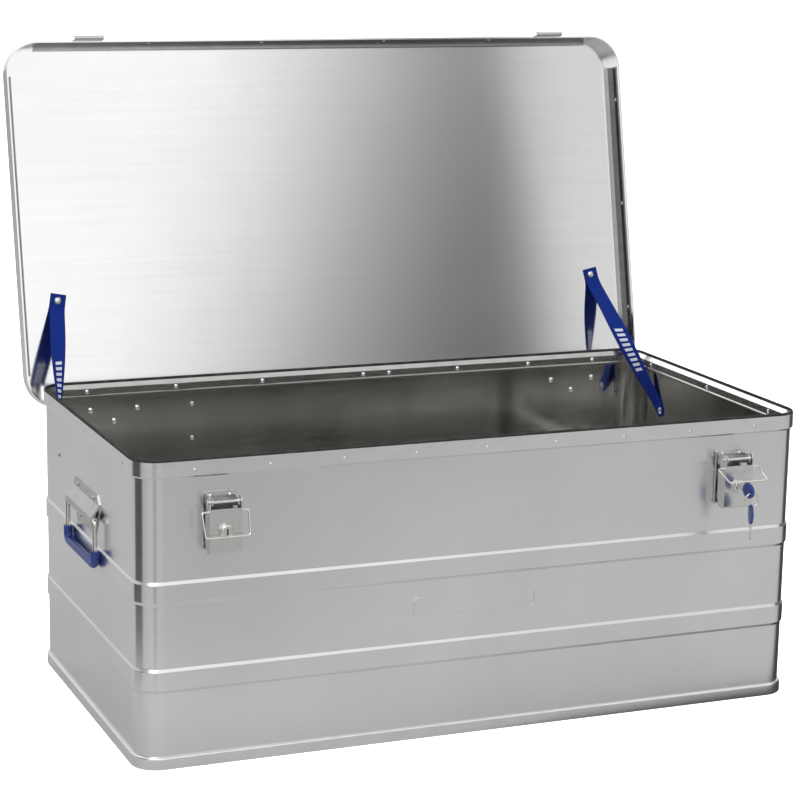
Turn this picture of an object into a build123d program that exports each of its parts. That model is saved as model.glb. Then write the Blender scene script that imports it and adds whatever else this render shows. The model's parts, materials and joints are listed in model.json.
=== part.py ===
"""Aluminium transport box with an overlapping hinged lid, standing open.

Frame: +Z up, front (latches) towards -Y, long side along X. The origin is the middle of the
underside of the floor panel. Millimetres.
"""

import math
import os

from build123d import *

os.makedirs("parts", exist_ok=True)

# ---- driving dimensions of the tub -------------------------------------------------------
WALL_L, WALL_W = 870.0, 454.0      # outside of the plain wall sheet
WALL_R = 29.0                      # outside corner radius of the wall sheet
SHEET = 1.0                        # wall and floor sheet
RIM_OUT = 3.0                      # how far the rim profile stands out of the wall
RIM_BOTTOM, RIM_TOP = 351.0, 371.0
SEAL_TOP = 374.0
BASE_OUT, BASE_H = 3.5, 15.5       # base profile
BEADS = ((93.5, 123.0), (199.5, 228.5))
BEAD_OUT, BEAD_RAMP = 2.0, 3.7

# ---- driving dimensions of the lid, given closed -----------------------------------------
LID_OUT = 14.0                     # outside of the skirt, from the wall sheet
LID_SHEET = 1.2
SKIRT_BOTTOM = 349.5
PANEL_IN = SEAL_TOP + 0.2
PANEL_OUT = PANEL_IN + LID_SHEET
LID_L, LID_W, LID_R = WALL_L + 2 * LID_OUT, WALL_W + 2 * LID_OUT, WALL_R + LID_OUT
LID_OPEN = 102.2                   # opening angle, where the straps are tight

WALL_X, WALL_Y = WALL_L / 2, WALL_W / 2
LID_X, LID_Y = LID_L / 2, LID_W / 2

# ---- hinge -------------------------------------------------------------------------------
FIT_X = 337.0                      # latches, catches and hinges share this distance from the middle
BARREL_R, PIN_R = 3.5, 1.75
HINGE_LEAF = 1.5
PIN_Z = 346.0
EDGE_LEG = 1.2                     # thickness of the lid's edge profiles
PIN_Y = LID_Y - LID_SHEET - EDGE_LEG - BARREL_R
KNUCKLE, KNUCKLE_GAP = 20.8, 0.4

# ---- latches -----------------------------------------------------------------------------
LATCH_PIN_Y, LATCH_PIN_Z = -WALL_Y - 16.0, 323.0
LEVER_FRONT = -WALL_Y - 23.0
LEVER_HALF, LEVER_SHEET = 19.7, 1.4
LEVER_BOTTOM, LEVER_TOP = 262.0, 316.0
BAIL_Y, BAIL_Z = -WALL_Y - 20.0, 313.0
BAIL_WIRE = 1.25
HOOK_Y, HOOK_Z, HOOK_R = -LID_Y - EDGE_LEG - 1.8, 343.2, 1.8
BAIL_LEN = math.hypot(HOOK_Y - BAIL_Y, HOOK_Z - BAIL_Z)
LOCK_Z = 290.0
BAIL_TILT = {"left": 21.0, "right": 68.0}   # angle of the loose bail out of the vertical, at rest

# ---- side handles ------------------------------------------------------------------------
GRIP_AXLE_OUT, GRIP_AXLE_Z = 7.9, 262.0
ROD_R, GRIP_R = 3.0, 5.6
ARM_Y, GRIP_Z = 64.0, 208.0

# ---- lid straps --------------------------------------------------------------------------
STRAP_W, STRAP_T, STRAP_HOLE_R = 21.0, 1.4, 1.8
STRAP_FOOT = Vector(WALL_X - SHEET, 136.0, 300.0)    # rivet on the side wall, right side
STRAP_HEAD = Vector(395.0, 100.0, PANEL_IN)          # rivet on the lid panel, right side, lid closed

# ---- keys --------------------------------------------------------------------------------
KEY_THICK, BOW_Y, BOW_Z = 3.2, 12.5, 9.6
BOW_CENTRE_Y = -WALL_Y - 48.0
KEY_HOLE_Y = BOW_CENTRE_Y - 8.0
KEY_HOLE_R, RING_R, RING_WIRE = 2.3, 9.0, 0.75


def save(part, name):
    """Label a finished piece and write it as its own node."""
    part.label = name
    export_step(part, f"parts/{name}.step")


def opened(part):
    """A lid piece drawn closed, swung to the open rest position."""
    return part.rotate(Axis((0, PIN_Y, PIN_Z), (1, 0, 0)), -LID_OPEN)


def mirrored(part):
    """The same piece on the other end of the box."""
    return mirror(part, about=Plane.YZ)


def run_plane():
    """Section plane at the middle of the front wall: local x points out, local y up."""
    return Plane(origin=(0, -WALL_Y, 0), x_dir=(0, -1, 0), z_dir=(-1, 0, 0))


def side_plane(x):
    """Section plane across the hinges and latches: local x along +Y, local y up, facing +X."""
    return Plane(origin=(x, 0, 0), x_dir=(0, 1, 0), z_dir=(1, 0, 0))


def wall_route():
    """The outside line of the wall sheet, seen from above."""
    corners = ((WALL_X, -WALL_Y), (WALL_X, WALL_Y), (-WALL_X, WALL_Y), (-WALL_X, -WALL_Y))
    return FilletPolyline(*corners, close=True, radius=WALL_R)


def rivets(spots, radius, height, shank_r=1.5, grip=2.0, dimple=0.0):
    """Dome-headed rivets; each spot is (point, outward direction)."""
    ball = (radius**2 + height**2) / (2 * height)
    latitude = math.degrees(math.asin((ball - height) / ball))
    seats = [Plane(origin=point, z_dir=out) for point, out in spots]
    with BuildPart() as group:
        with Locations(*[seat.offset(height - ball) for seat in seats]):
            Sphere(ball, arc_size1=latitude, align=None)
        with Locations(*seats):
            Cylinder(shank_r, grip, align=(Align.CENTER, Align.CENTER, Align.MAX))
        if dimple:
            with Locations(*[seat.offset(height) for seat in seats]):
                Cylinder(dimple, height, mode=Mode.SUBTRACT)
    return group.part


# ==========================================================================================
# Tub
# ==========================================================================================

def wall_side(shift):
    """Outline of the beaded wall sheet, from bottom to top, moved inwards by shift."""
    points = [(-shift, SHEET)]
    for low, high in BEADS:
        points += [
            (-shift, low), (BEAD_OUT - shift, low + BEAD_RAMP),
            (BEAD_OUT - shift, high - BEAD_RAMP), (-shift, high),
        ]
    return points + [(-shift, 368.0)]


with BuildPart() as wall_shell:
    with BuildLine():
        wall_route()
    with BuildSketch(run_plane()):
        with BuildLine():
            FilletPolyline(*wall_side(0), radius=1.4)
            FilletPolyline(*wall_side(SHEET), radius=1.4)
            Line((0, SHEET), (-SHEET, SHEET))
            Line((0, 368.0), (-SHEET, 368.0))
        make_face()
    sweep()
    # plain embossed frame in the middle of the front
    with BuildSketch(Plane.XZ.offset(WALL_Y)):
        with Locations((-9, 165)):
            RectangleRounded(164, 28, 6)
            RectangleRounded(156, 20, 3.5, mode=Mode.SUBTRACT)
    extrude(amount=1.3)
save(wall_shell.part, "wall_shell")

with BuildPart() as floor_panel:
    with BuildSketch():
        RectangleRounded(WALL_L - 2 * SHEET, WALL_W - 2 * SHEET, WALL_R - SHEET)
    extrude(amount=SHEET)
save(floor_panel.part, "floor_panel")

with BuildPart() as base_frame:
    with BuildLine():
        wall_route()
    with BuildSketch(run_plane()):
        with BuildLine():
            FilletPolyline((-SHEET, 0), (BASE_OUT, 0), (BASE_OUT, BASE_H), (0, BASE_H), radius=[1.0, 3.0])
            Polyline((0, BASE_H), (0, SHEET), (-SHEET, SHEET), (-SHEET, 0))
        make_face()
    sweep()
save(base_frame.part, "base_frame")

SEAL_IN, SEAL_OUT, GROOVE_Z = -1.0, 2.2, 369.0
SEAL_SHOULDER = SEAL_TOP - 1.6
RIM_IN = 7.4
with BuildPart() as rim_frame:
    with BuildLine():
        wall_route()
    with BuildSketch(run_plane()):
        with BuildLine():
            Polyline(
                (0, RIM_BOTTOM), (0.6, RIM_BOTTOM), (RIM_OUT, RIM_BOTTOM + 2.4), (RIM_OUT, RIM_TOP),
                (SEAL_OUT, RIM_TOP), (SEAL_OUT, GROOVE_Z), (SEAL_IN, GROOVE_Z), (SEAL_IN, RIM_TOP),
                (-3, RIM_TOP), (-6, 365.5), (-6, 357), (-RIM_IN, 355.6), (-RIM_IN, 353),
                (-SHEET, 353), (-SHEET, 368), (0, 368), close=True,
            )
        make_face()
    sweep()
save(rim_frame.part, "rim_frame")

with BuildPart() as rim_seal:
    with BuildLine():
        wall_route()
    with BuildSketch(run_plane()):
        with BuildLine():
            Polyline(
                (SEAL_IN, SEAL_SHOULDER), (SEAL_IN, GROOVE_Z),
                (SEAL_OUT, GROOVE_Z), (SEAL_OUT, SEAL_SHOULDER),
            )
            ThreePointArc(
                (SEAL_IN, SEAL_SHOULDER), ((SEAL_IN + SEAL_OUT) / 2, SEAL_TOP), (SEAL_OUT, SEAL_SHOULDER),
            )
        make_face()
    sweep()
save(rim_seal.part, "rim_seal")

# joint plates on the inside of the rim, where the profile pieces meet on the back
RIM_FACE_Y = WALL_Y - 6.0
with BuildPart() as rim_joint_plates:
    with BuildSketch(Plane.XZ.offset(-RIM_FACE_Y)):
        with Locations((-375, 361.3), (-253, 361.3), (-131, 361.3)):
            RectangleRounded(34, 7.6, 1.0)
    extrude(amount=0.8)
save(rim_joint_plates.part, "rim_joint_plates")

# rim rivets: outside heads on the band, inside heads on the inner leg
front_spots = [((-368 + 92 * k, -WALL_Y - RIM_OUT, 360), (0, -1, 0)) for k in range(9)]
back_spots = [((-368 + 92 * k, WALL_Y + RIM_OUT, 360), (0, 1, 0)) for k in range(9)]
side_spots = [((s * (WALL_X + RIM_OUT), y, 360), (s, 0, 0)) for s in (-1, 1) for y in (-172, 0, 172)]
inner_spots = [((s * (WALL_X - 6.0), y, 361), (-s, 0, 0)) for s in (-1, 1) for y in (-160, 0, 160)]
inner_spots += [((x, RIM_FACE_Y, 361), (0, -1, 0)) for x in (16, 54, 157, 266, 367)]
inner_spots += [((x, RIM_FACE_Y - 0.8, 361.3), (0, -1, 0)) for x in (-375, -253, -131)]
inner_spots += [((-368 + 92 * k, -RIM_FACE_Y, 361), (0, 1, 0)) for k in range(9)]
save(rivets(front_spots + back_spots + side_spots, 2.3, 0.8, grip=2.5), "rim_outer_rivets")
save(rivets(inner_spots, 3.0, 1.3, grip=2.5, dimple=0.8), "rim_inner_rivets")

# upright seam of the wall sheet on the back: a cover strip and its rivets
SEAM_X = -229.0
with BuildPart() as seam_strip:
    with BuildSketch(Plane.XZ.offset(-WALL_Y)):
        with Locations((SEAM_X + 6, (125 + 197) / 2)):
            Rectangle(26, 72)
        with Locations((SEAM_X + 6, (230 + 350) / 2)):
            Rectangle(26, 120)
        with Locations((SEAM_X + 6, (16 + 92) / 2)):
            Rectangle(26, 76)
    extrude(amount=-0.8)
save(seam_strip.part, "seam_strip")
seam_spots = [((SEAM_X, WALL_Y - SHEET, z), (0, -1, 0)) for z in (335, 288, 241, 185, 137, 80, 35)]
save(rivets(seam_spots, 3.0, 0.9, grip=SHEET + 0.8), "seam_rivets")

# ---- hinges ------------------------------------------------------------------------------

def hinge_x(side):
    return {"left": -FIT_X, "right": FIT_X}[side]


def knuckle_spans(side, which):
    """Start of each knuckle along X; the tub has the first, third and fifth."""
    start = hinge_x(side) - 2.5 * KNUCKLE
    return [start + k * KNUCKLE + KNUCKLE_GAP / 2 for k in which]


KNUCKLE_LEN = KNUCKLE - KNUCKLE_GAP
SIDES = ("left", "right")
with BuildPart() as hinge_tub_leaves:
    for side in SIDES:
        with BuildSketch(Plane.XZ.offset(-WALL_Y)):
            with Locations((hinge_x(side), 322.5)):
                RectangleRounded(5 * KNUCKLE, 29, 4)
        extrude(amount=-HINGE_LEAF)
        for start in knuckle_spans(side, (0, 2, 4)):
            with BuildSketch(side_plane(start)):
                with BuildLine():
                    Polyline(
                        (WALL_Y, 334), (WALL_Y + HINGE_LEAF, 332), (PIN_Y, PIN_Z - BARREL_R),
                        (PIN_Y - 3.1, PIN_Z + 1.5), (WALL_Y, 343), close=True,
                    )
                make_face()
                with Locations((PIN_Y, PIN_Z)):
                    Circle(BARREL_R)
                    Circle(PIN_R + 0.01, mode=Mode.SUBTRACT)
            extrude(amount=KNUCKLE_LEN)
save(hinge_tub_leaves.part, "hinge_tub_leaves")

LEAF_OUT = PIN_Y + BARREL_R
with BuildPart() as lid_leaves_closed:
    for side in SIDES:
        with BuildSketch(Plane.XZ.offset(-LEAF_OUT)):
            with Locations((hinge_x(side), (351 + 368) / 2)):
                Rectangle(5 * KNUCKLE, 17)
        extrude(amount=HINGE_LEAF)
        for start in knuckle_spans(side, (1, 3)):
            with BuildSketch(side_plane(start)):
                with Locations((LEAF_OUT - HINGE_LEAF / 2, (PIN_Z + 352) / 2)):
                    Rectangle(HINGE_LEAF, 352 - PIN_Z)
                with Locations((PIN_Y, PIN_Z)):
                    Circle(BARREL_R)
                    Circle(PIN_R + 0.05, mode=Mode.SUBTRACT)
            extrude(amount=KNUCKLE_LEN)
save(opened(lid_leaves_closed.part), "hinge_lid_leaves")

with BuildPart() as hinge_pins:
    with Locations(*[Location((hinge_x(side), PIN_Y, PIN_Z), (0, 90, 0)) for side in SIDES]):
        Cylinder(PIN_R, 5 * KNUCKLE + 1.6)
save(hinge_pins.part, "hinge_pins")

leaf_holes = ((-32, 334.5), (32, 334.5), (0, 318.5))
hinge_spots = [
    ((hinge_x(side) + dx, WALL_Y - SHEET, z), (0, -1, 0)) for side in SIDES for dx, z in leaf_holes
]
save(rivets(hinge_spots, 3.6, 1.3, grip=SHEET + HINGE_LEAF, dimple=0.9), "hinge_tub_rivets")
lid_leaf_spots = [
    ((hinge_x(side) + dx, LEAF_OUT - HINGE_LEAF, 360), (0, -1, 0)) for side in SIDES for dx in (-40, 0, 40)
]
save(opened(rivets(lid_leaf_spots, 3.0, 1.0, grip=HINGE_LEAF + 2.0)), "hinge_lid_rivets")

# ==========================================================================================
# Latches
# ==========================================================================================

BASE_PLATE = 1.5
BASE_FACE = -WALL_Y - BASE_PLATE


def latch_base(centre):
    """Back plate with two ears for the lever's pin and a lipped strike for the lock cam."""
    with BuildPart() as base:
        with BuildSketch(Plane.XZ.offset(WALL_Y)):
            with Locations((centre, 297.5)):
                RectangleRounded(42, 70, 3)
        extrude(amount=BASE_PLATE)
        for x in (centre - 16.5, centre + 15.0):
            with BuildSketch(side_plane(x)):
                with BuildLine():
                    Polyline(
                        (BASE_FACE, 314), (BASE_FACE, 329), (LATCH_PIN_Y, 328.5), (LATCH_PIN_Y, 317.5),
                        close=True,
                    )
                make_face()
                with Locations((LATCH_PIN_Y, LATCH_PIN_Z)):
                    Circle(5.5)
                    Circle(2.01, mode=Mode.SUBTRACT)
            extrude(amount=1.5)
        with BuildSketch(side_plane(centre - 7)):
            with BuildLine():
                Polyline(
                    (BASE_FACE, 268), (-WALL_Y - 14.5, 268), (-WALL_Y - 14.5, 281),
                    (-WALL_Y - 13.1, 281), (-WALL_Y - 13.1, 269.5), (BASE_FACE, 269.5), close=True,
                )
            make_face()
        extrude(amount=14)
    return base.part


def latch_lever(centre):
    """Box lever: front plate, two flanges with pin and bail holes, and a turned-in lower edge."""
    inner = LEVER_HALF - LEVER_SHEET
    with BuildPart() as lever:
        with BuildSketch(side_plane(centre - LEVER_HALF)):
            with BuildLine():
                Polyline(
                    (LEVER_FRONT, LEVER_BOTTOM), (LEVER_FRONT, LATCH_PIN_Z), (LATCH_PIN_Y, 328.0),
                    (LATCH_PIN_Y + 6.0, LATCH_PIN_Z), (LATCH_PIN_Y + 6.3, 312), (-WALL_Y - 5.5, 305),
                    (-WALL_Y - 5.5, 272), (-WALL_Y - 10.5, LEVER_BOTTOM), close=True,
                )
            make_face()
            fillet(vertices().group_by(Axis.Y)[0].sort_by(Axis.X)[0], 2.5)
            with Locations((LATCH_PIN_Y, LATCH_PIN_Z)):
                Circle(6.6)
        extrude(amount=2 * LEVER_HALF)
        with Locations((centre, LEVER_FRONT + LEVER_SHEET, LEVER_BOTTOM + LEVER_SHEET)):
            Box(
                2 * inner, 40, 90, mode=Mode.SUBTRACT,
                align=(Align.CENTER, Align.MIN, Align.MIN),
            )
        with Locations((centre, LEVER_FRONT - 1, LEVER_TOP)):
            Box(2 * inner, 40, 30, mode=Mode.SUBTRACT, align=(Align.CENTER, Align.MIN, Align.MIN))
        with Locations(Location((centre, LATCH_PIN_Y, LATCH_PIN_Z), (0, 90, 0))):
            Cylinder(2.06, 2 * LEVER_HALF + 2, mode=Mode.SUBTRACT)
        with Locations(Location((centre, BAIL_Y, BAIL_Z), (0, 90, 0))):
            Cylinder(BAIL_WIRE + 0.06, 2 * LEVER_HALF + 2, mode=Mode.SUBTRACT)
        with Locations(Location((centre, LEVER_FRONT, LOCK_Z), (90, 0, 0))):
            Cylinder(7.0, 8, mode=Mode.SUBTRACT)
    return lever.part


def latch_pin(centre):
    """Bright cross pin with two heads outside the lever's flanges."""
    with BuildPart() as pin:
        with Locations(Location((centre, LATCH_PIN_Y, LATCH_PIN_Z), (0, 90, 0))):
            Cylinder(2.0, 2 * LEVER_HALF + 2.4)
        for x in (centre - LEVER_HALF - 0.8, centre + LEVER_HALF + 0.8):
            with Locations(Location((x, LATCH_PIN_Y, LATCH_PIN_Z), (0, 90, 0))):
                Cylinder(3.0, 1.0)
    return pin.part


def latch_bail(centre, tilt):
    """Wire loop hung in the lever's flanges; tilt is its angle out of the vertical at rest."""
    hang = Plane(origin=(centre, BAIL_Y, BAIL_Z), x_dir=(1, 0, 0), z_dir=(0, -1, 0))
    hang = hang.rotated((-tilt, 0, 0))
    top, bottom, inside = 28.6, 26.8, 17.6
    with BuildPart() as bail:
        with BuildLine(hang):
            FilletPolyline(
                (-inside, 0), (-top, 0), (-bottom, -BAIL_LEN), (bottom, -BAIL_LEN), (top, 0), (inside, 0),
                radius=3.2,
            )
        with BuildSketch(Plane(origin=(centre - inside, BAIL_Y, BAIL_Z), z_dir=(-1, 0, 0))):
            Circle(BAIL_WIRE)
        sweep()
    return bail.part


def lock_housing(centre):
    """Round lock case riveted in the lever's front, bored for the plug."""
    with BuildPart() as housing:
        with Locations(Location((centre, LEVER_FRONT, LOCK_Z), (90, 0, 0))):
            Cylinder(8.5, 6.0, align=(Align.CENTER, Align.CENTER, Align.MIN))
            Cylinder(7.0, 10.5, align=(Align.CENTER, Align.CENTER, Align.MAX))
        fillet(housing.edges().group_by(Axis.Y)[0], 2.4)
        with Locations(Location((centre, LEVER_FRONT, LOCK_Z), (90, 0, 0))):
            Cylinder(5.55, 60, mode=Mode.SUBTRACT)
    return housing.part


PLUG_FRONT, PLUG_BACK = LEVER_FRONT - 5.4, LEVER_FRONT + 11.1


def lock_plug(centre):
    """Turning plug with an upright keyway."""
    with BuildPart() as plug:
        with Locations(Location((centre, PLUG_BACK, LOCK_Z), (90, 0, 0))):
            Cylinder(5.5, PLUG_BACK - PLUG_FRONT, align=(Align.CENTER, Align.CENTER, Align.MIN))
        with Locations((centre, PLUG_FRONT, LOCK_Z)):
            Box(2.2, 2 * 13.2, 7.4, mode=Mode.SUBTRACT)
    return plug.part


def lock_cam(centre):
    """Flat cam behind the plug, pointing sideways while unlocked."""
    with BuildPart() as cam:
        with BuildSketch(Plane(origin=(centre, PLUG_BACK, LOCK_Z), x_dir=(1, 0, 0), z_dir=(0, 1, 0))):
            with Locations((5, 0)):
                SlotOverall(18, 8)
        extrude(amount=2.0)
    return cam.part


def latch_base_rivets(centre):
    return [((centre + dx, BASE_FACE, z), (0, -1, 0)) for dx in (-12, 12) for z in (272, 327)]


for side in SIDES:
    centre = hinge_x(side)
    save(latch_base(centre), f"latch_base_{side}")
    save(latch_lever(centre), f"latch_lever_{side}")
    save(latch_pin(centre), f"latch_pin_{side}")
    save(latch_bail(centre, BAIL_TILT[side]), f"latch_bail_{side}")
    save(lock_housing(centre), f"lock_housing_{side}")
    save(lock_plug(centre), f"lock_plug_{side}")
    save(lock_cam(centre), f"lock_cam_{side}")
latch_spots = latch_base_rivets(-FIT_X) + latch_base_rivets(FIT_X)
save(rivets(latch_spots, 2.8, 1.1, grip=BASE_PLATE + SHEET), "latch_base_rivets")

# ---- keys --------------------------------------------------------------------------------

def key_bow(plane, hole_shift):
    """Oval plastic bow with a ring hole and a pocket for the blade; local x runs away from the lock."""
    with BuildPart() as bow:
        with BuildSketch(plane.offset(-KEY_THICK / 2)):
            Ellipse(BOW_Y, BOW_Z)
            with Locations((hole_shift, 0)):
                Circle(KEY_HOLE_R, mode=Mode.SUBTRACT)
        extrude(amount=KEY_THICK)
        fillet(bow.edges().group_by(SortBy.LENGTH)[-1], 0.9)
        with BuildSketch(plane.offset(-1.0)):
            with Locations((-BOW_Y + 1.5, 0)):
                Rectangle(5.0, 7.0)
        extrude(amount=2.0, mode=Mode.SUBTRACT)
    return bow.part


def key_blade(plane, length):
    """Flat blade with a notched lower edge, starting inside the bow."""
    root = -BOW_Y + 4.0
    tip = root - length
    with BuildPart() as blade:
        with BuildSketch(plane.offset(-1.0)):
            with BuildLine():
                Polyline(
                    (root, -3.5), (root, 3.5), (tip + 2.5, 3.5), (tip, 0.5), (tip + 1.5, -2.2),
                    (tip + 5, -2.8), (tip + 7, -1.6), (tip + 9, -2.8), (tip + 11, -2.0), (tip + 13, -3.5),
                    close=True,
                )
            make_face()
        extrude(amount=2.0)
    return blade.part


key_plane = Plane(origin=(FIT_X, BOW_CENTRE_Y, LOCK_Z), x_dir=(0, -1, 0), z_dir=(-1, 0, 0))
save(key_bow(key_plane, 8.0), "key_bow")
save(key_blade(key_plane, 23.0), "key_blade")

RING_TOP_Z = LOCK_Z - KEY_HOLE_R + RING_WIRE + 0.3
RING_BOTTOM_Z = RING_TOP_Z - 2 * RING_R
with BuildPart() as key_ring:
    with Locations(Location((FIT_X, KEY_HOLE_Y, RING_TOP_Z - RING_R), (90, 0, 0))):
        Torus(RING_R, RING_WIRE)
save(key_ring.part, "key_ring")

SPARE_TURN = math.radians(18.0)
spare_hole_z = RING_BOTTOM_Z + RING_WIRE + 0.35 - KEY_HOLE_R
spare_plane = Plane(
    origin=(FIT_X, KEY_HOLE_Y, spare_hole_z - 8.0),
    x_dir=(0, 0, 1), z_dir=(math.cos(SPARE_TURN), -math.sin(SPARE_TURN), 0),
)
save(key_bow(spare_plane, 8.0), "spare_key_bow")
save(key_blade(spare_plane, 23.0), "spare_key_blade")

# ==========================================================================================
# Side handles
# ==========================================================================================

def handle_plane(y):
    """Section of the left handle: local x is the distance from the wall, local y up."""
    return Plane(origin=(-WALL_X, y, 0), x_dir=(-1, 0, 0), z_dir=(0, 1, 0))


def handle_plate():
    """Riveted plate whose middle is bent out into a hood and rolled round the bail's rod."""
    with BuildPart() as plate:
        with BuildSketch(Plane(origin=(-WALL_X, 0, 0), x_dir=(0, -1, 0), z_dir=(-1, 0, 0))):
            with BuildLine():
                Polyline(
                    (-51, 293), (51, 293), (60, 282), (60, 272),
                    (40, 240), (-40, 240), (-60, 272), (-60, 282), close=True,
                )
            make_face()
            fillet(vertices(), 3)
        extrude(amount=1.5)
        with BuildSketch(handle_plane(-60)):
            with BuildLine():
                Polyline(
                    (1.0, 277.5), (1.5, 280.3), (GRIP_AXLE_OUT + 3.7, GRIP_AXLE_Z + 5.0),
                    (GRIP_AXLE_OUT + 4.8, GRIP_AXLE_Z), (GRIP_AXLE_OUT, GRIP_AXLE_Z + 4.5), close=True,
                )
            make_face()
            with Locations((GRIP_AXLE_OUT, GRIP_AXLE_Z)):
                Circle(ROD_R + 1.8)
                Circle(ROD_R + 0.08, mode=Mode.SUBTRACT)
        extrude(amount=120)
    return plate.part


def handle_bar():
    """Closed wire bail: one run turns in the hood, the other carries the grip."""
    x = -WALL_X - GRIP_AXLE_OUT
    with BuildPart() as bar:
        with BuildLine(Plane(origin=(x, 0, 0), x_dir=(0, 1, 0), z_dir=(1, 0, 0))):
            FilletPolyline(
                (ARM_Y, GRIP_AXLE_Z), (ARM_Y, GRIP_Z), (-ARM_Y, GRIP_Z), (-ARM_Y, GRIP_AXLE_Z),
                close=True, radius=[3.9, 10, 10, 3.9],
            )
        with BuildSketch(Plane(origin=(x, 0, GRIP_AXLE_Z), z_dir=(0, 1, 0))):
            Circle(ROD_R)
        sweep()
    return bar.part


def handle_grip():
    """Moulded grip round the lower run and the ends of the arms."""
    x = -WALL_X - GRIP_AXLE_OUT
    route = ((ARM_Y, 226), (ARM_Y, GRIP_Z), (-ARM_Y, GRIP_Z), (-ARM_Y, 226))
    section = Plane(origin=(x, ARM_Y, 226), z_dir=(0, 0, -1))
    with BuildPart() as grip:
        with BuildLine(Plane(origin=(x, 0, 0), x_dir=(0, 1, 0), z_dir=(1, 0, 0))):
            FilletPolyline(*route, radius=10)
        with BuildSketch(section):
            Circle(GRIP_R)
            Circle(ROD_R, mode=Mode.SUBTRACT)
        sweep()
    return grip.part


handle_pieces = {"handle_plate": handle_plate(), "handle_bar": handle_bar(), "handle_grip": handle_grip()}
for name, piece in handle_pieces.items():
    save(piece, f"{name}_left")
    save(mirrored(piece), f"{name}_right")
plate_face = WALL_X + 1.5
plate_holes = ((-37, 284.5), (37, 284.5), (-26, 247), (26, 247))
handle_spots = [((s * plate_face, y, z), (s, 0, 0)) for s in (-1, 1) for y, z in plate_holes]
save(rivets(handle_spots, 3.8, 1.7, grip=1.5 + SHEET), "handle_rivets")

# ==========================================================================================
# Lid, drawn closed and swung open
# ==========================================================================================

with BuildPart() as lid_closed:
    with BuildSketch(Plane.XY.offset(SKIRT_BOTTOM)):
        RectangleRounded(LID_L, LID_W, LID_R)
    extrude(amount=PANEL_OUT - SKIRT_BOTTOM)
    fillet(lid_closed.edges().group_by(Axis.Z)[-1], 3.5)
    # hollow above the hem
    with BuildSketch(Plane.XY.offset(SKIRT_BOTTOM + 3.0)):
        RectangleRounded(LID_L - 2 * LID_SHEET, LID_W - 2 * LID_SHEET, LID_R - LID_SHEET)
    extrude(amount=PANEL_IN - SKIRT_BOTTOM - 3.0, mode=Mode.SUBTRACT)
    # narrower mouth between the folded hem
    with BuildSketch(Plane.XY.offset(SKIRT_BOTTOM)):
        RectangleRounded(LID_L - 4.4, LID_W - 4.4, LID_R - 2.2)
    extrude(amount=3.0, mode=Mode.SUBTRACT)
save(opened(lid_closed.part), "lid_shell")

PROFILE_IN = 9.5                  # reach of the edge profiles from the outside of the skirt
RIB_BOTTOM = 368.5


def edge_section(plane):
    """Section of an edge profile; local x runs inwards from the lid's outside, local y up."""
    with BuildSketch(plane) as section:
        with BuildLine():
            Polyline(
                (LID_SHEET, SKIRT_BOTTOM + 3.5), (LID_SHEET, PANEL_IN), (PROFILE_IN, PANEL_IN),
                (PROFILE_IN, RIB_BOTTOM), (PROFILE_IN - EDGE_LEG, RIB_BOTTOM),
                (PROFILE_IN - EDGE_LEG, PANEL_IN - EDGE_LEG), (LID_SHEET + EDGE_LEG, PANEL_IN - EDGE_LEG),
                (LID_SHEET + EDGE_LEG, SKIRT_BOTTOM + 3.5), close=True,
            )
        make_face()
    return section.sketch


long_run, short_run = LID_L - 2 * LID_R, LID_W - 2 * LID_R
edge_planes = (
    (Plane(origin=(-long_run / 2, -LID_Y, 0), x_dir=(0, 1, 0), z_dir=(1, 0, 0)), long_run),
    (Plane(origin=(long_run / 2, LID_Y, 0), x_dir=(0, -1, 0), z_dir=(-1, 0, 0)), long_run),
    (Plane(origin=(-LID_X, short_run / 2, 0), x_dir=(1, 0, 0), z_dir=(0, -1, 0)), short_run),
    (Plane(origin=(LID_X, -short_run / 2, 0), x_dir=(-1, 0, 0), z_dir=(0, 1, 0)), short_run),
)
with BuildPart() as edge_closed:
    for plane, length in edge_planes:
        extrude(edge_section(plane), amount=length)
save(opened(edge_closed.part), "lid_edge_profiles")

leg_in = LID_SHEET + EDGE_LEG
profile_spots = [((s * (LID_X - leg_in), y, 362), (-s, 0, 0)) for s in (-1, 1) for y in (-150, 0, 150)]
profile_spots += [((x, -LID_Y + leg_in, 362), (0, 1, 0)) for x in (-250, -90, 90, 250)]
profile_spots += [((x, LID_Y - leg_in, 362), (0, -1, 0)) for x in (-200, 0, 200)]
save(opened(rivets(profile_spots, 3.0, 1.2, grip=1.7, dimple=0.8)), "lid_profile_rivets")
outer_spots = [((s * LID_X, y, 362), (s, 0, 0)) for s in (-1, 1) for y in (-150, 0, 150)]
outer_spots += [((x, -LID_Y, 362), (0, -1, 0)) for x in (-250, -90, 90, 250)]
outer_spots += [((x, LID_Y, 362), (0, 1, 0)) for x in (-200, 0, 200)]
save(opened(rivets(outer_spots, 2.2, 0.7, grip=0.6, shank_r=1.4)), "lid_outer_rivets")


def lid_catch(centre):
    """Riveted plate on the skirt whose lower edge is rolled up into a hook for the bail."""
    outer = HOOK_R + EDGE_LEG
    with BuildPart() as catch:
        with BuildSketch(side_plane(centre - 20)):
            with Locations((-LID_Y - EDGE_LEG / 2, (HOOK_Z + 367) / 2)):
                Rectangle(EDGE_LEG, 367 - HOOK_Z)
            with Locations((HOOK_Y, HOOK_Z)):
                Circle(outer)
                Circle(HOOK_R, mode=Mode.SUBTRACT)
            with Locations((HOOK_Y, HOOK_Z + outer)):
                Rectangle(2 * HOOK_R, 2 * outer, mode=Mode.SUBTRACT)
            with Locations((HOOK_Y - HOOK_R - EDGE_LEG / 2, HOOK_Z + 1.4)):
                Rectangle(EDGE_LEG, 2.8)
        extrude(amount=40)
    return catch.part


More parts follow.
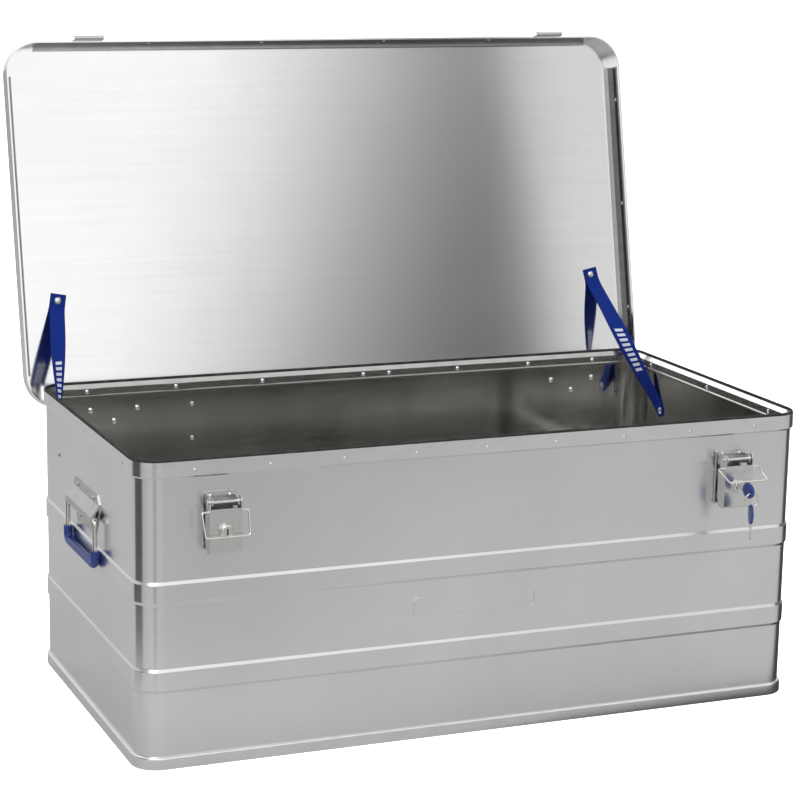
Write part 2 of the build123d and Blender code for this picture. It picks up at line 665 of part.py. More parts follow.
catch_spots = []
for side in SIDES:
    save(opened(lid_catch(hinge_x(side))), f"lid_catch_{side}")
    catch_spots += [((hinge_x(side) + dx, -LID_Y - EDGE_LEG, 359), (0, -1, 0)) for dx in (-12, 12)]
save(opened(rivets(catch_spots, 2.8, 1.0, grip=EDGE_LEG + LID_SHEET)), "lid_catch_rivets")

# ==========================================================================================
# Lid straps: webbing riveted flat to the side wall below and flat to the lid panel above
# ==========================================================================================


def swing(point):
    """A point on the closed lid, at the open rest position."""
    turn = math.radians(-LID_OPEN)
    dy, dz = point.Y - PIN_Y, point.Z - PIN_Z
    return Vector(
        point.X, PIN_Y + dy * math.cos(turn) - dz * math.sin(turn),
        PIN_Z + dy * math.sin(turn) + dz * math.cos(turn),
    )


panel_normal = (swing(Vector(0, 0, 0)) - swing(Vector(0, 0, 1))).normalized()
wall_normal = Vector(-1, 0, 0)
strap_end = swing(STRAP_HEAD)
straight = (strap_end - STRAP_FOOT).normalized()
along_wall = (straight - wall_normal * straight.dot(wall_normal)).normalized()
along_panel = (straight - panel_normal * straight.dot(panel_normal)).normalized()
TAB, TAB_END = 24.0, 9.0           # a tab's length, and how much of it is behind its rivet


def strap_tab(rivet, normal, along, way):
    """Flat riveted end of a strap, from behind the rivet to where it leaves the sheet."""
    plane = Plane(origin=rivet + normal * 0.05, x_dir=along, z_dir=normal)
    with BuildPart() as tab:
        with BuildSketch(plane):
            with Locations((way * (TAB / 2 - TAB_END), 0)):
                Rectangle(TAB, STRAP_W)
            Circle(STRAP_HOLE_R, mode=Mode.SUBTRACT)
        extrude(amount=STRAP_T)
    return tab.part


def strap_span():
    """Free stretch of a strap, turning from the wall's plane to the panel's plane."""
    lift = 0.05 + STRAP_T / 2
    foot = STRAP_FOOT + wall_normal * lift + along_wall * (TAB - TAB_END)
    head = strap_end + panel_normal * lift - along_panel * (TAB - TAB_END)
    with BuildPart() as span:
        with BuildSketch(Plane(origin=foot, x_dir=wall_normal, z_dir=along_wall)):
            Rectangle(STRAP_T, STRAP_W)
        with BuildSketch(Plane(origin=head, x_dir=panel_normal, z_dir=along_panel)):
            Rectangle(STRAP_T, STRAP_W)
        loft(ruled=True)
    return span.part


strap_right = (
    strap_span()
    + strap_tab(STRAP_FOOT, wall_normal, along_wall, 1)
    + strap_tab(strap_end, panel_normal, along_panel, -1)
)
save(strap_right, "lid_strap_right")
save(mirrored(strap_right), "lid_strap_left")

# each strap rivet is two headed halves that meet inside the sheet and the webbing
seat_in = STRAP_T + 0.15
foot_spots, head_spots = [], []
for s in (-1, 1):
    foot_spots += [
        ((s * (STRAP_FOOT.X - seat_in), STRAP_FOOT.Y, STRAP_FOOT.Z), (-s, 0, 0)),
        ((s * WALL_X, STRAP_FOOT.Y, STRAP_FOOT.Z), (s, 0, 0)),
    ]
    head_spots += [
        ((s * STRAP_HEAD.X, STRAP_HEAD.Y, PANEL_IN - seat_in), (0, 0, -1)),
        ((s * STRAP_HEAD.X, STRAP_HEAD.Y, PANEL_OUT), (0, 0, 1)),
    ]
save(rivets(foot_spots, 4.6, 2.0, grip=1.5), "strap_foot_rivets")
save(opened(rivets(head_spots, 5.0, 2.2, grip=1.5, dimple=1.8)), "strap_head_rivets")
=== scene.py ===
"""Looks of the aluminium transport box: camera, studio, materials and webbing straps."""
import json
import math

import bpy
from mathutils import Matrix, Vector


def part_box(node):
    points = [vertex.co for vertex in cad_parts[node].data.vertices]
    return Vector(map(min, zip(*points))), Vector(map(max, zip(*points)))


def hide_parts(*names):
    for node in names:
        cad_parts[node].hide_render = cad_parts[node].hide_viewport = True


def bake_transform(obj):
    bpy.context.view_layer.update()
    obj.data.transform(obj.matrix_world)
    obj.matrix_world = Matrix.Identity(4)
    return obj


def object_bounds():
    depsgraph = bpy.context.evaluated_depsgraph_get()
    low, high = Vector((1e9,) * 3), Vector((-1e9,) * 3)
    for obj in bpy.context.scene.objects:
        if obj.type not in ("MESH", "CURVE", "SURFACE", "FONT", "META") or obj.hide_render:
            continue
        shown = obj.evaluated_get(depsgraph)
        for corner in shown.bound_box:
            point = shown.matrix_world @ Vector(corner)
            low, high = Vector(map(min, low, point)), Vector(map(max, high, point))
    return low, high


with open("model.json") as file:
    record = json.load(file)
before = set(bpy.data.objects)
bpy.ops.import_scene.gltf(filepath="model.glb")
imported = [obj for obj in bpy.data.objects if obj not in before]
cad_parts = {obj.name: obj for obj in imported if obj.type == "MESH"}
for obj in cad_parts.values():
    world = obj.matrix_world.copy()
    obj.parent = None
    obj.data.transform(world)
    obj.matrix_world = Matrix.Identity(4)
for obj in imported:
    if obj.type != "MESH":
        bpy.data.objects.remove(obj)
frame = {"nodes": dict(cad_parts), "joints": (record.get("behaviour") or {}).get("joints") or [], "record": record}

CAD_LOW, CAD_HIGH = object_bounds()
NODES = frame["nodes"]
SLOT_OF = {part["node"]: part["material_slot"] for part in frame["record"]["subparts"]}
MM = 0.001
WHITE = (1.0, 1.0, 1.0, 1.0)


# ==========================================================================================
# Camera, studio, floor and light
# ==========================================================================================

# read off the photo's perspective, in metres and degrees
AZIMUTH, ELEVATION, ROLL = math.radians(-21.902), math.radians(12.778), math.radians(0.892)
DISTANCE, AIM = 3.069944, Vector((-0.050461, 0.0, 0.33552))
LENS_MM, SENSOR_MM, SHIFT_X, SHIFT_Y = 107.58, 36.0, 0.0276, 0.037
CLIP_END = 300.0


def make_camera():
    """A long lens from the front left, a little above the rim."""
    back = Vector((
        math.sin(AZIMUTH) * math.cos(ELEVATION),
        -math.cos(AZIMUTH) * math.cos(ELEVATION),
        math.sin(ELEVATION),
    ))
    level = (-back).cross(Vector((0, 0, 1))).normalized()
    upright = level.cross(-back)
    right = level * math.cos(ROLL) + upright * math.sin(ROLL)
    up = upright * math.cos(ROLL) - level * math.sin(ROLL)
    data = bpy.data.cameras.new("camera")
    data.lens, data.sensor_width = LENS_MM, SENSOR_MM
    data.shift_x, data.shift_y = SHIFT_X, SHIFT_Y
    data.clip_end = CLIP_END
    camera = bpy.data.objects.new("camera", data)
    turn = Matrix((right, up, back)).transposed().to_4x4()
    camera.matrix_world = Matrix.Translation(AIM + back * DISTANCE) @ turn
    bpy.context.collection.objects.link(camera)
    bpy.context.scene.camera = camera


def ramp_stops(ramp, stops):
    """Fills a colour ramp with (position, grey) stops, eased from one to the next."""
    ramp.interpolation = "EASE"
    while len(ramp.elements) < len(stops):
        ramp.elements.new(0.5)
    for element, (position, grey) in zip(ramp.elements, stops):
        element.position = position
        element.color = (grey, grey, grey, 1.0)


# greys of the studio by heading in degrees, 0 at the front and 90 at the right
WALLS = (
    (-180, 0.80), (-120, 0.60), (-95, 0.10), (-70, 0.10), (-50, 0.95), (0, 1.12), (8.5, 1.12),
    (10.8, 1.0), (12.2, 0.78), (13.5, 0.55), (15.2, 0.35), (16.8, 0.22), (18.6, 0.11), (60, 0.11),
    (105, 0.15), (125, 0.80), (180, 0.80),
)
WALLS_SLANT = -0.49
SIDE_CARD = ((0, 0.0), (26.0, 0.0), (26.5, 0.74), (60, 0.74), (64, 0.0))
# by rise of the direction, from 0 at the horizon to 1 overhead
CEILING_SHARE = ((0.0, 0.0), (0.42, 0.05), (0.72, 1.0))
CEILING = ((0.0, 1.05), (0.80, 1.05), (0.97, 0.42), (1.0, 0.42))
# what metal mirrors of the floor, by heading from the box's front left corner
FLOOR_CARDS = (
    (-180, 0.47), (-128, 0.47), (-122, 0.05), (-82, 0.05), (-76, 0.43), (-35, 0.45), (-26, 0.38),
    (-19, 0.20), (-10, 0.42), (15, 0.42), (22, 0.38), (32, 0.44), (45, 0.50), (84, 0.50),
    (88, 0.04), (106, 0.04), (112, 0.44), (180, 0.47),
)
# what metal mirrors of the floor close to that corner, and where it fades into the cards
NEAR_FLOOR, NEAR_FADE = 0.54, (0.30, 0.55)
CORNER_INSET = 0.03
FLOOR_GREY, FLOOR_HALF = 0.90, 150.0


def greys_by_heading(tree, direction, slant, stops):
    """Greys by heading of a direction; slant shifts the heading, in radians, as the direction rises."""
    add, link = tree.nodes.new, tree.links.new
    split = add("ShaderNodeSeparateXYZ")
    link(direction, split.inputs[0])
    toward = add("ShaderNodeMath")
    toward.operation = "MULTIPLY"
    toward.inputs[1].default_value = -1.0
    link(split.outputs["Y"], toward.inputs[0])
    heading = add("ShaderNodeMath")
    heading.operation = "ARCTAN2"
    link(split.outputs["X"], heading.inputs[0])
    link(toward.outputs[0], heading.inputs[1])
    leaning = add("ShaderNodeMath")
    leaning.operation = "MULTIPLY_ADD"
    leaning.inputs[1].default_value = slant
    link(split.outputs["Z"], leaning.inputs[0])
    link(heading.outputs[0], leaning.inputs[2])
    share = add("ShaderNodeMapRange")
    share.inputs["From Min"].default_value = -math.pi
    share.inputs["From Max"].default_value = math.pi
    link(leaning.outputs[0], share.inputs["Value"])
    greys = add("ShaderNodeValToRGB")
    ramp_stops(greys.color_ramp, [((a + 180) / 360, grey) for a, grey in stops])
    link(share.outputs[0], greys.inputs["Fac"])
    return greys.outputs["Color"]


def make_world():
    """A room with softboxes and dark gaps for the metal to mirror; the lens itself sees plain white."""
    world = bpy.data.worlds.new("studio")
    bpy.context.scene.world = world
    world.use_nodes = True
    tree = world.node_tree
    tree.nodes.clear()
    add, link = tree.nodes.new, tree.links.new
    sky = add("ShaderNodeTexCoord").outputs["Generated"]
    walls = add("ShaderNodeMix")
    walls.data_type, walls.blend_type = "RGBA", "LIGHTEN"
    walls.inputs["Factor"].default_value = 1.0
    link(greys_by_heading(tree, sky, WALLS_SLANT, WALLS), walls.inputs["A"])
    link(greys_by_heading(tree, sky, 0.0, SIDE_CARD), walls.inputs["B"])
    rise = add("ShaderNodeSeparateXYZ")
    link(sky, rise.inputs[0])
    height = add("ShaderNodeValToRGB")
    ramp_stops(height.color_ramp, CEILING_SHARE)
    link(rise.outputs["Z"], height.inputs["Fac"])
    overhead = add("ShaderNodeValToRGB")
    ramp_stops(overhead.color_ramp, CEILING)
    link(rise.outputs["Z"], overhead.inputs["Fac"])
    ceiling = add("ShaderNodeMix")
    ceiling.data_type = "RGBA"
    link(overhead.outputs["Color"], ceiling.inputs["B"])
    link(height.outputs["Color"], ceiling.inputs["Factor"])
    link(walls.outputs["Result"], ceiling.inputs["A"])
    ray = add("ShaderNodeLightPath")
    seen = add("ShaderNodeMix")
    seen.data_type = "RGBA"
    seen.inputs["B"].default_value = WHITE
    link(ray.outputs["Is Camera Ray"], seen.inputs["Factor"])
    link(ceiling.outputs["Result"], seen.inputs["A"])
    shade = add("ShaderNodeBackground")
    link(seen.outputs["Result"], shade.inputs["Color"])
    out = add("ShaderNodeOutputWorld")
    link(shade.outputs[0], out.inputs["Surface"])


def make_floor():
    """A wide pale floor just under the box; metal mirrors cards that lie on it."""
    square = ((-1, -1), (1, -1), (1, 1), (-1, 1))
    corners = [(x * FLOOR_HALF, y * FLOOR_HALF, CAD_LOW.z) for x, y in square]
    mesh = bpy.data.meshes.new("floor")
    mesh.from_pydata(corners, [], [(0, 1, 2, 3)])
    floor = bpy.data.objects.new("floor", mesh)
    bpy.context.collection.objects.link(floor)
    material = bpy.data.materials.new("floor")
    material.use_nodes = True
    tree = material.node_tree
    add, link = tree.nodes.new, tree.links.new
    shader = tree.nodes["Principled BSDF"]
    shader.inputs["Roughness"].default_value = 0.9
    shader.inputs["Specular IOR Level"].default_value = 0.2
    ray = add("ShaderNodeLightPath")
    tone = add("ShaderNodeMix")
    tone.data_type = "RGBA"
    tone.inputs["A"].default_value = (FLOOR_GREY, FLOOR_GREY, FLOOR_GREY, 1.0)
    place = add("ShaderNodeTexCoord")
    from_corner = add("ShaderNodeVectorMath")
    from_corner.operation = "SUBTRACT"
    from_corner.inputs[1].default_value = (
        CAD_LOW.x + CORNER_INSET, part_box("wall_shell")[0].y + CORNER_INSET, CAD_LOW.z
    )
    link(place.outputs["Object"], from_corner.inputs[0])
    reach = add("ShaderNodeVectorMath")
    reach.operation = "LENGTH"
    link(from_corner.outputs[0], reach.inputs[0])
    near = add("ShaderNodeMapRange")
    near.inputs["From Min"].default_value, near.inputs["From Max"].default_value = NEAR_FADE
    link(reach.outputs["Value"], near.inputs["Value"])
    cards = add("ShaderNodeMix")
    cards.data_type = "RGBA"
    cards.inputs["A"].default_value = (NEAR_FLOOR, NEAR_FLOOR, NEAR_FLOOR, 1.0)
    link(near.outputs["Result"], cards.inputs["Factor"])
    link(greys_by_heading(tree, from_corner.outputs[0], 0.0, FLOOR_CARDS), cards.inputs["B"])
    link(cards.outputs["Result"], tone.inputs["B"])
    link(ray.outputs["Is Glossy Ray"], tone.inputs["Factor"])
    link(tone.outputs["Result"], shader.inputs["Base Color"])
    shader.inputs["Emission Color"].default_value = WHITE
    link(ray.outputs["Is Camera Ray"], shader.inputs["Emission Strength"])
    floor.data.materials.append(material)


def softbox(name, place, aim, size, power):
    """A rectangular area light at place that looks at aim."""
    data = bpy.data.lights.new(name, "AREA")
    data.shape = "RECTANGLE"
    data.size, data.size_y = size
    data.energy = power
    lamp = bpy.data.objects.new(name, data)
    turn = (Vector(aim) - Vector(place)).to_track_quat("-Z", "Y")
    lamp.matrix_world = Matrix.Translation(place) @ turn.to_matrix().to_4x4()
    bpy.context.collection.objects.link(lamp)
    return lamp


def make_lights():
    """A key light from the front left, and a light overhead that the metal doesn't mirror."""
    softbox("key_light", (-1.6, -2.2, 3.2), (0, 0, 0.3), (2.0, 2.0), 30)
    overhead = softbox("top_light", (0.6, 0.4, 3.4), (0, 0, 0.2), (2.6, 2.6), 48)
    overhead.visible_glossy = False


# ==========================================================================================
# Materials
# ==========================================================================================

class Paint:
    """A Principled material under construction, with the few node recipes that the surfaces share."""

    def __init__(self, name, colour, roughness, metallic=0.0, **sockets):
        self.material = bpy.data.materials.new(name)
        self.material.use_nodes = True
        self.tree = self.material.node_tree
        self.shader = self.tree.nodes["Principled BSDF"]
        self.shader.inputs["Base Color"].default_value = (*colour, 1.0)
        self.shader.inputs["Roughness"].default_value = roughness
        self.shader.inputs["Metallic"].default_value = metallic
        for socket, value in sockets.items():
            self.shader.inputs[socket.replace("_", " ")].default_value = value
        self.last_bump = None

    def add(self, kind, **values):
        """A new node with the given properties."""
        node = self.tree.nodes.new(kind)
        for name, value in values.items():
            setattr(node, name, value)
        return node

    def link(self, out, into):
        self.tree.links.new(out, into)

    def place(self, scale=(1, 1, 1)):
        """Object coordinates of the surface, times scale."""
        coords = self.add("ShaderNodeTexCoord")
        mapping = self.add("ShaderNodeMapping")
        mapping.inputs["Scale"].default_value = scale
        self.link(coords.outputs["Object"], mapping.inputs["Vector"])
        return mapping.outputs["Vector"]

    def noise(self, scale, stretch=(1, 1, 1), detail=3.0, rough=0.5, distortion=0.0):
        """Soft noise in the object's own metres, closer along an axis by stretch."""
        node = self.add("ShaderNodeTexNoise")
        node.inputs["Scale"].default_value = scale
        node.inputs["Detail"].default_value = detail
        node.inputs["Roughness"].default_value = rough
        node.inputs["Distortion"].default_value = distortion
        self.link(self.place(stretch), node.inputs["Vector"])
        return node.outputs["Fac"]

    def spread(self, value, low, high, to_low, to_high):
        """Maps a value from low..high to to_low..to_high."""
        node = self.add("ShaderNodeMapRange")
        ends = {"From Min": low, "From Max": high, "To Min": to_low, "To Max": to_high}
        for name, number in ends.items():
            node.inputs[name].default_value = number
        self.link(value, node.inputs["Value"])
        return node.outputs["Result"]

    def calc(self, a, b=0.0, operation="ADD"):
        """The maths node of two values, each a number or an output."""
        node = self.add("ShaderNodeMath", operation=operation)
        for socket, value in zip(node.inputs, (a, b)):
            if isinstance(value, float):
                socket.default_value = value
            else:
                self.link(value, socket)
        return node.outputs[0]

    def mix(self, factor, first, second):
        """The colour from first to second by factor, each a colour or an output."""
        node = self.add("ShaderNodeMix", data_type="RGBA")
        self.link(factor, node.inputs["Factor"])
        for name, colour in (("A", first), ("B", second)):
            if isinstance(colour, tuple):
                node.inputs[name].default_value = (*colour, 1.0)
            else:
                self.link(colour, node.inputs[name])
        return node.outputs["Result"]

    def base(self, colour):
        self.link(colour, self.shader.inputs["Base Color"])

    def rough(self, value):
        self.link(value, self.shader.inputs["Roughness"])

    def bump(self, height, distance):
        """Adds relief of height times distance, on top of any relief before it."""
        node = self.add("ShaderNodeBump")
        node.inputs["Distance"].default_value = distance
        node.inputs["Strength"].default_value = 1.0
        self.link(height, node.inputs["Height"])
        if self.last_bump:
            self.link(self.last_bump, node.inputs["Normal"])
        self.last_bump = node.outputs["Normal"]
        self.link(self.last_bump, self.shader.inputs["Normal"])

    def inside(self):
        """1 on faces that look towards the upright line through the middle of the box, else 0."""
        normal = self.add("ShaderNodeNewGeometry").outputs["Normal"]
        outward = self.add("ShaderNodeVectorMath", operation="DOT_PRODUCT")
        self.link(normal, outward.inputs[0])
        self.link(self.place((1, 1, 0)), outward.inputs[1])
        return self.spread(outward.outputs["Value"], -0.02, 0.0, 1.0, 0.0)

    def across_grain(self):
        """Stretches highlights up and down a wall whose rolling grain runs level."""
        normal = self.add("ShaderNodeNewGeometry").outputs["Normal"]
        level = self.add("ShaderNodeVectorMath", operation="CROSS_PRODUCT")
        level.inputs[0].default_value = (0.02, 0.05, 1.0)
        self.link(normal, level.inputs[1])
        upward = self.add("ShaderNodeVectorMath", operation="CROSS_PRODUCT")
        self.link(normal, upward.inputs[0])
        self.link(level.outputs[0], upward.inputs[1])
        self.link(upward.outputs[0], self.shader.inputs["Tangent"])


def scaled(colour, share):
    """The colour times share, kept within 1."""
    return tuple(min(1.0, channel * share) for channel in colour)


def rolled_sheet(name, colour, inner, roughness, wander, stretch):
    """Mill-finish aluminium sheet: level rolling lines, cloudy marks, and an inner face painted lighter as painted
    light, darkening as painted shade towards the box's middle and right.
    """
    paint = Paint(name, colour, roughness, metallic=1.0, Anisotropic=stretch)
    lines = paint.noise(1.0, (5.0, 5.0, 210.0), detail=2.0, rough=0.6)
    cloud = paint.noise(5.5, (1.0, 1.0, 0.8), detail=5.0, rough=0.6, distortion=0.6)
    marks = paint.spread(cloud, 0.35, 0.68, 0.0, 1.0)
    along = paint.add("ShaderNodeSeparateXYZ")
    paint.link(paint.place(), along.inputs[0])
    streak = paint.noise(1.0, (16.0, 16.0, 0.4), detail=2.0)
    # painted shade: the inner face darkens towards the box's middle and right, with upright streaks of painted
    # reflection
    shade = paint.calc(
        paint.spread(along.outputs["X"], -0.42, 0.05, 0.0, 0.8),
        paint.spread(streak, 0.35, 0.65, -0.2, 0.3),
    )
    inside = paint.inside()
    paint.base(paint.mix(
        inside,
        paint.mix(marks, scaled(colour, 1.03), scaled(colour, 0.97)),
        paint.mix(shade, inner, scaled(inner, 0.74)),
    ))
    uneven = paint.calc(
        paint.spread(marks, 0.0, 1.0, roughness - wander, roughness + wander),
        paint.spread(lines, 0.3, 0.7, -wander, wander),
    )
    paint.rough(paint.calc(uneven, paint.spread(inside, 0.0, 1.0, 0.0, -0.12)))
    paint.bump(paint.noise(3.0, detail=1.0), 0.0004)
    paint.across_grain()
    return paint.material


def lid_sheet(name, colour, roughness):
    """Brighter sheet with a close level grain, which stretches what it mirrors up and down."""
    paint = Paint(name, colour, roughness, metallic=1.0, Anisotropic=1.0)
    lines = paint.noise(1.0, (4.0, 4.0, 150.0), detail=3.0, rough=0.6)
    cloud = paint.noise(5.0, (1.0, 1.0, 0.8), detail=5.0, rough=0.6, distortion=0.5)
    marks = paint.calc(
        paint.spread(cloud, 0.35, 0.68, 0.0, 0.6), paint.spread(lines, 0.3, 0.7, 0.0, 0.4)
    )
    paint.base(paint.mix(marks, scaled(colour, 1.04), scaled(colour, 0.97)))
    paint.rough(paint.spread(marks, 0.0, 1.0, roughness - 0.01, roughness + 0.015))
    paint.bump(paint.noise(2.5, detail=1.0), 0.0002)
    paint.across_grain()
    return paint.material


def profile(name, colour, inner, roughness):
    """Extruded aluminium: fine die lines along its length, soft scuffs, and an inner face painted darker as
    painted shade.
    """
    paint = Paint(name, colour, roughness, metallic=1.0, Anisotropic=0.4)
    lines = paint.noise(1.0, (3.0, 3.0, 400.0), detail=2.0)
    scuff = paint.noise(45.0, (1.0, 1.0, 2.0), detail=4.0, rough=0.5)
    marks = paint.spread(scuff, 0.4, 0.72, 0.0, 1.0)
    paint.base(paint.mix(
        paint.inside(),
        paint.mix(marks, scaled(colour, 1.02), scaled(colour, 0.95)),
        # painted shade: the inner face is painted darker than the outer
        paint.mix(marks, scaled(inner, 1.02), scaled(inner, 0.92)),
    ))
    paint.rough(paint.calc(
        paint.spread(scuff, 0.4, 0.72, roughness, roughness + 0.04),
        paint.spread(lines, 0.3, 0.7, -0.02, 0.02),
    ))
    paint.across_grain()
    return paint.material


def plated(name, colour, roughness, patch, grain):
    """Plated steel: a faint patchy tone, pressing marks and a slightly uneven gloss."""
    paint = Paint(name, colour, roughness, metallic=1.0)
    patches = paint.noise(patch, detail=4.0, rough=0.55)
    fine = paint.noise(grain, (1.0, 1.0, 0.35), detail=3.0)
    tone = paint.spread(patches, 0.35, 0.65, 0.0, 1.0)
    paint.base(paint.mix(tone, scaled(colour, 1.02), scaled(colour, 0.94)))
    paint.rough(paint.calc(
        paint.spread(patches, 0.35, 0.65, roughness - 0.02, roughness + 0.03),
        paint.spread(fine, 0.3, 0.7, -0.015, 0.015),
    ))
    paint.bump(fine, 0.000004)
    return paint.material


def moulded(name, colour, roughness):
    """Moulded plastic: a fine spark-eroded grain, with a little colour drift."""
    paint = Paint(name, colour, roughness, Specular_IOR_Level=0.55)
    grain = paint.noise(2600.0, detail=2.0)
    drift = paint.noise(45.0, detail=3.0)
    tone = paint.spread(drift, 0.35, 0.65, 0.0, 1.0)
    paint.base(paint.mix(tone, scaled(colour, 0.9), scaled(colour, 1.15)))
    paint.rough(paint.spread(drift, 0.35, 0.65, roughness - 0.04, roughness + 0.06))
    paint.bump(grain, 0.00004)
    return paint.material


def rubber(name):
    """Matt black sealing rubber with a closed-cell skin and a little dust."""
    paint = Paint(name, (0.02, 0.02, 0.021), 0.75)
    cells = paint.noise(1500.0, detail=3.0)
    dust = paint.noise(70.0, detail=4.0)
    dusty = paint.spread(dust, 0.45, 0.75, 0.0, 1.0)
    paint.base(paint.mix(dusty, (0.014, 0.014, 0.015), (0.05, 0.05, 0.05)))
    paint.rough(paint.spread(cells, 0.3, 0.7, 0.65, 0.85))
    paint.bump(cells, 0.00006)
    return paint.material


# the straps' weave and bars, in metres
WARP_PITCH, WEFT_PITCH = 1.4 * MM, 2.0 * MM
BAR_PITCH, BAR_SHARE, BAR_HALF, BAR_SLANT = 8.5 * MM, 0.55, 5.2 * MM, 0.45
FIRST_BAR, LAST_BAR = 9, 18


def webbing(name):
    """Blue woven webbing with a short row of plain slanted bars; its UV is metres across and along."""
    blue, valley_shade_blue, white = (0.006, 0.034, 0.30), (0.003, 0.016, 0.16), (0.72, 0.74, 0.80)
    paint = Paint(name, blue, 0.7, Specular_IOR_Level=0.15)
    uv = paint.add("ShaderNodeUVMap", uv_map="weave")
    split = paint.add("ShaderNodeSeparateXYZ")
    paint.link(uv.outputs[0], split.inputs[0])
    across, along = split.outputs["X"], split.outputs["Y"]
    times, less, more = "MULTIPLY", "LESS_THAN", "GREATER_THAN"
    warp = paint.calc(paint.calc(across, 2 * math.pi / WARP_PITCH, times), operation="SINE")
    weft = paint.calc(paint.calc(along, 2 * math.pi / WEFT_PITCH, times), operation="SINE")
    weave = paint.calc(warp, weft, times)
    fuzz = paint.noise(900.0, detail=3.0)
    # painted shade: the weave's low points are coloured darker, with random fuzz in the tone
    weave_shade_and_fuzz = paint.calc(
        paint.spread(weave, -1.0, 1.0, 0.0, 0.7), paint.spread(fuzz, 0.3, 0.7, -0.1, 0.3)
    )
    cloth = paint.mix(weave_shade_and_fuzz, valley_shade_blue, blue)
    # slanted white bars over the middle of the strap's lower half
    slant = paint.calc(along, paint.calc(across, BAR_SLANT, times))
    in_pitch = paint.calc(paint.calc(slant, 1 / BAR_PITCH, times), operation="FRACT")
    bars = paint.calc(in_pitch, BAR_SHARE, less)
    middle = paint.calc(paint.calc(across, operation="ABSOLUTE"), BAR_HALF, less)
    start = paint.calc(slant, BAR_PITCH * FIRST_BAR, more)
    end = paint.calc(slant, BAR_PITCH * LAST_BAR, less)
    printed = paint.calc(paint.calc(bars, middle, times), paint.calc(start, end, times), times)
    paint.base(paint.mix(printed, cloth, white))
    paint.rough(paint.spread(weave, -1.0, 1.0, 0.78, 0.62))
    paint.bump(weave, 0.00022)
    paint.bump(fuzz, 0.00008)
    return paint.material


def paint_nodes():
    """Gives every CAD node the material of its slot, or one of its own where its finish differs."""
    # the walls' inner face colour is painted light: lighter and warmer than the outer face
    sheet, sheet_inside_painted_light = (0.80, 0.80, 0.805), (0.93, 0.925, 0.895)
    # painted shade: the lid's edge profiles are painted dark, in place of the dark bands along the lid's edge
    lid_edge = (0.36, 0.36, 0.355)
    finish = {
        "aluminium_sheet": rolled_sheet("wall_sheet", sheet, sheet_inside_painted_light, 0.24, 0.02, 0.6),
        # the edge profile's inner face colour is painted dark, as painted shade
        "aluminium_profile": profile("edge_profile", (0.84, 0.84, 0.845), (0.50, 0.50, 0.485), 0.22),
        "aluminium_rivet": plated("rivet_metal", (0.80, 0.80, 0.81), 0.18, 120.0, 700.0),
        "zinc_steel": plated("zinc_plate", (0.74, 0.75, 0.73), 0.24, 90.0, 500.0),
        "nickel": plated("bright_plate", (0.80, 0.79, 0.75), 0.12, 70.0, 900.0),
        "seal_rubber": rubber("seal_rubber"),
        "blue_plastic": moulded("blue_plastic", (0.013, 0.036, 0.20), 0.34),
        # the straps' CAD solids are hidden, as strap() replaces them
        "blue_webbing": rubber("strap_hidden"),
    }
    hood = plated("hood_plate", (0.60, 0.61, 0.60), 0.36, 40.0, 500.0)
    own = {
        "handle_plate_left": hood,
        "handle_plate_right": hood,
        "lid_shell": lid_sheet("lid_sheet", (0.86, 0.86, 0.865), 0.11),
        "lid_edge_profiles": profile("lid_edge", lid_edge, lid_edge, 0.16),
    }
    for name, node in NODES.items():
        material = own.get(name) or finish[SLOT_OF[name]]
        node.data.materials.clear()
        node.data.materials.append(material)


# ==========================================================================================
# Straps
# ==========================================================================================

STRAP_W, STRAP_T = 21 * MM, 1.4 * MM
# length of webbing that lies flat at each rivet, and how much of it is beyond the rivet's axis
TAB, TAB_END = 14 * MM, 9 * MM
HEAD_R = 5.0 * MM
# air between webbing and sheet, how soon it bends off the sheet, and the half width of its end
STRAP_GAP, BEND_REACH, TIP_HALF = 0.15 * MM, 14 * MM, 1.2 * MM
STEPS_TAB, STEPS_FREE, STEPS_ACROSS = 14, 90, 12
# share of the free length that twists, and the outer share of the width where the edge rounds off
TWIST_SHARE, EDGE_SHARE, EDGE_ROUND = 0.85, 0.14, 0.93


def mesh_object(name, points, faces, uvs):
    """A linked smooth mesh object; uvs holds one pair for each point."""
    mesh = bpy.data.meshes.new(name)
    mesh.from_pydata(points, [], faces)
    layer = mesh.uv_layers.new(name="weave")
    for loop in mesh.loops:
        layer.data[loop.index].uv = uvs[loop.vertex_index]
    mesh.shade_smooth()
    mesh.update()
    piece = bpy.data.objects.new(name, mesh)
    bpy.context.collection.objects.link(piece)
    return piece


def strap_ends():
    """Rivet points and sheet normals of the right-hand strap, foot first, all from the frame."""
    foot_low, foot_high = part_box("strap_foot_rivets")
    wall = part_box("floor_panel")[1].x
    foot = Vector((wall, (foot_low.y + foot_high.y) / 2, (foot_low.z + foot_high.z) / 2))
    head_low, head_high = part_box("strap_head_rivets")
    head_x = head_high.x - HEAD_R
    head = Vector((head_x, (head_low.y + head_high.y) / 2, (head_low.z + head_high.z) / 2))
    hinge = next(joint for joint in frame["joints"] if joint["name"] == "lid_hinge")
    lean = math.radians(abs(hinge["range_deg"][0]))
    return foot, Vector((-1, 0, 0)), head, Vector((0, -math.sin(lean), -math.cos(lean)))


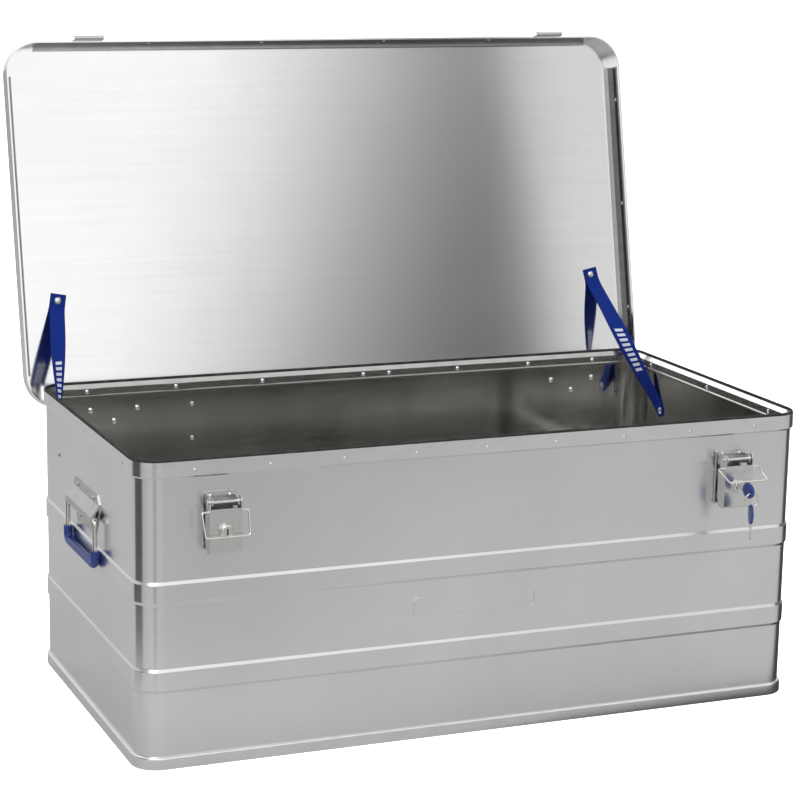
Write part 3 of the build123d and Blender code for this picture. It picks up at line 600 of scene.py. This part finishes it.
def strap_line():
    """Middle line and normals of the right-hand strap, and the points where it leaves the sheets."""
    foot, wall_normal, head, panel_normal = strap_ends()
    straight = (head - foot).normalized()
    on_wall = (straight - wall_normal * straight.dot(wall_normal)).normalized()
    on_panel = (straight - panel_normal * straight.dot(panel_normal)).normalized()
    lift = STRAP_GAP + STRAP_T / 2
    foot_leave = foot + wall_normal * lift + on_wall * (TAB - TAB_END)
    head_leave = head + panel_normal * lift - on_panel * (TAB - TAB_END)
    foot_end = foot + wall_normal * lift - on_wall * TAB_END
    head_end = head + panel_normal * lift + on_panel * TAB_END
    free = (head_leave - foot_leave).length
    line = [foot_end.lerp(foot_leave, k / STEPS_TAB) for k in range(STEPS_TAB)]
    for k in range(STEPS_FREE + 1):
        t = k / STEPS_FREE
        near_foot, near_head = math.exp(-t * free / BEND_REACH), math.exp((t - 1) * free / BEND_REACH)
        bend = (on_wall - straight) * t * free * near_foot
        bend += (straight - on_panel) * (1 - t) * free * near_head
        line.append(foot_leave.lerp(head_leave, t) + bend)
    line += [head_leave.lerp(head_end, k / STEPS_TAB) for k in range(1, STEPS_TAB + 1)]
    normals = []
    for k in range(len(line)):
        t = min(1.0, max(0.0, (k - STEPS_TAB) / STEPS_FREE))
        turn = min(1.0, t / TWIST_SHARE)
        turn = turn * turn * (3 - 2 * turn)
        if turn <= 0:
            normals.append(wall_normal)
        elif turn >= 1:
            normals.append(panel_normal)
        else:
            normals.append(wall_normal.slerp(panel_normal, turn))
    return line, normals, foot_leave, head_leave


def strap(side):
    """Webbing strap: flat on the side wall, a slow quarter twist, then flat on the lid panel."""
    line, normals, foot_leave, head_leave = strap_line()
    sign = 1 if side == "right" else -1
    lengths = [0.0]
    for a, b in zip(line, line[1:]):
        lengths.append(lengths[-1] + (b - a).length)
    points, uvs, faces = [], [], []
    for k, (centre, normal) in enumerate(zip(line, normals)):
        ahead = (line[min(k + 1, len(line) - 1)] - line[max(k - 1, 0)]).normalized()
        sideways = ahead.cross(normal).normalized()
        out = sideways.cross(ahead).normalized()
        half = STRAP_W / 2
        if lengths[k] < half:
            # the lower end is rounded, the upper one is cut square
            half = math.sqrt(max(half * half - (half - lengths[k]) ** 2, TIP_HALF ** 2))
        for face in (1, -1):
            for i in range(STEPS_ACROSS + 1):
                u = (2 * i / STEPS_ACROSS - 1) * face
                edge = max(0.0, abs(u) - (1 - EDGE_SHARE)) / EDGE_SHARE
                bulge = STRAP_T / 2 * math.sqrt(max(0.0, 1 - EDGE_ROUND * edge * edge))
                p = centre + sideways * (u * half) + out * (face * bulge)
                points.append(Vector((p.x * sign, p.y, p.z)))
                uvs.append((u * half, lengths[k]))
    ring = 2 * (STEPS_ACROSS + 1)
    for k in range(len(line) - 1):
        for i in range(ring):
            a, b = k * ring + i, k * ring + (i + 1) % ring
            quad = (a, b, b + ring, a + ring)
            faces.append(quad if sign < 0 else quad[::-1])
    first, last = tuple(range(ring)), tuple(range((len(line) - 1) * ring, len(line) * ring))
    faces.append(first if sign > 0 else first[::-1])
    faces.append(last[::-1] if sign > 0 else last)
    piece = mesh_object(f"webbing_strap_{side}", points, faces, uvs)
    piece.data.materials.append(webbing(f"webbing_{side}"))
    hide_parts(f"lid_strap_{side}")
    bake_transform(piece)


# ==========================================================================================
# The scene
# ==========================================================================================

make_camera()
make_world()
make_floor()
make_lights()
paint_nodes()
for side in ("left", "right"):
    strap(side)
bpy.context.scene.view_settings.view_transform = "Standard"
